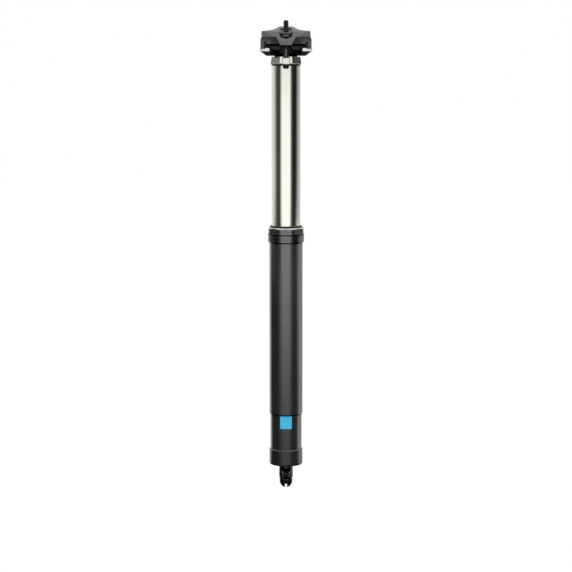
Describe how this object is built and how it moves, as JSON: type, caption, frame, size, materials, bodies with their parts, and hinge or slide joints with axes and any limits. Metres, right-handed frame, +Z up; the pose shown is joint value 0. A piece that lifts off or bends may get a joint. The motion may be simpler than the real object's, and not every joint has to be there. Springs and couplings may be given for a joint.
{
  "type": "dropper seatpost",
  "caption": "Telescoping bicycle dropper seatpost: polished sliding tube, black lower tube with seal collar, cable actuator below and a rocking rail clamp on top.",
  "frame": {"origin": "on the post's axis at the underside of the seal collar, the upper end of the part that the seat tube holds", "axes": "+Z up the post, +X across the bicycle, -Y towards the rear of the bicycle, the side that the picture shows"},
  "size_m": [0.0484, 0.0526, 0.4429],
  "materials": {
    "lower_tube": "satin black anodised",
    "seal_collar": "satin black anodised",
    "seal_rubber": "matt moulded",
    "bush_polymer": "smooth",
    "bottom_cap": "satin black anodised",
    "bumper_rubber": "matt",
    "plated_steel": "zinc plated",
    "chromed_rod": "polished",
    "piston_brass": "turned",
    "actuator_black": "satin black anodised",
    "label_blue": "gloss film",
    "lever_steel": "blackened",
    "stanchion": "polished hard anodised",
    "cartridge": "clear anodised",
    "cartridge_ends": "grey anodised",
    "forged_head": "polished, clear hard anodised forging",
    "black_bolt": "black oxide",
    "cradle": "black anodised, bright end faces",
    "upper_clamp": "satin grey black forging",
    "barrel_nut": "blackened"
  },
  "bodies": {
    "lower_post": {"outer_tube": "lower_tube", "seal_collar": "seal_collar", "wiper_seal": "seal_rubber", "upper_bushing": "bush_polymer", "bottom_cap": "bottom_cap", "bottom_bumper": "bumper_rubber", "rod_nut": "plated_steel", "cartridge_rod": "chromed_rod", "rod_piston": "piston_brass", "actuator_housing": "actuator_black", "lever_pin": "plated_steel", "label_film": "label_blue"},
    "lever": {"actuator_lever": "lever_steel"},
    "valve": {"valve_pin": "plated_steel"},
    "upper_post": {"stanchion": "stanchion", "guide_bush": "bush_polymer", "key_pins": "piston_brass", "cartridge_body": "cartridge", "cartridge_gland": "cartridge_ends", "cartridge_end_cap": "cartridge_ends", "retaining_clip": "plated_steel", "post_head": "forged_head", "rear_bolt": "black_bolt", "front_bolt": "black_bolt"},
    "gas_piston": {"floating_piston": "piston_brass"},
    "cradle": {"lower_cradle": "cradle"},
    "clamp_top": {"upper_clamp": "upper_clamp"},
    "rear_nut": {"rear_barrel_nut": "barrel_nut"},
    "front_nut": {"front_barrel_nut": "barrel_nut"}
  },
  "joints": [
    {"name": "post_drop", "type": "slide", "parent": "lower_post", "child": "upper_post", "axis": [0, 0, 1], "range_m": [-0.15, 0], "stiffness_N_per_m": 667, "springref_m": 0.225},
    {"name": "gas_piston_slide", "type": "slide", "parent": "upper_post", "child": "gas_piston", "axis": [0, 0, 1], "range_m": [0, 0.0192]},
    {"name": "clamp_tilt", "type": "hinge", "parent": "upper_post", "child": "cradle", "pos_m": [0, 0, 0.1933], "axis": [1, 0, 0], "range_deg": [-4.5, 4.5]},
    {"name": "clamp_lift", "type": "slide", "parent": "cradle", "child": "clamp_top", "axis": [0, 0, 1], "range_m": [0, 0.0061]},
    {"name": "rear_nut_turn", "type": "hinge", "parent": "clamp_top", "child": "rear_nut", "pos_m": [0, -0.021, 0.1933], "axis": [1, 0, 0], "range_deg": [-4.5, 4.5]},
    {"name": "front_nut_turn", "type": "hinge", "parent": "clamp_top", "child": "front_nut", "pos_m": [0, 0.021, 0.1933], "axis": [1, 0, 0], "range_deg": [-4.5, 4.5]},
    {"name": "lever_swing", "type": "hinge", "parent": "lower_post", "child": "lever", "pos_m": [0, -0.0024, -0.2215], "axis": [1, 0, 0], "range_deg": [0, 18]},
    {"name": "valve_push", "type": "slide", "parent": "lower_post", "child": "valve", "axis": [0, 0, 1], "range_m": [0, 0.000848], "stiffness_N_per_m": 3000, "springref_m": -0.002}
  ],
  "couplings": [
    {"joint": "gas_piston_slide", "follows": "post_drop", "ratio": -0.1276},
    {"joint": "rear_nut_turn", "follows": "clamp_tilt", "ratio": -1},
    {"joint": "front_nut_turn", "follows": "clamp_tilt", "ratio": -1},
    {"joint": "lever_swing", "follows": "valve_push", "rad_per_m": 370.37}
  ]
}
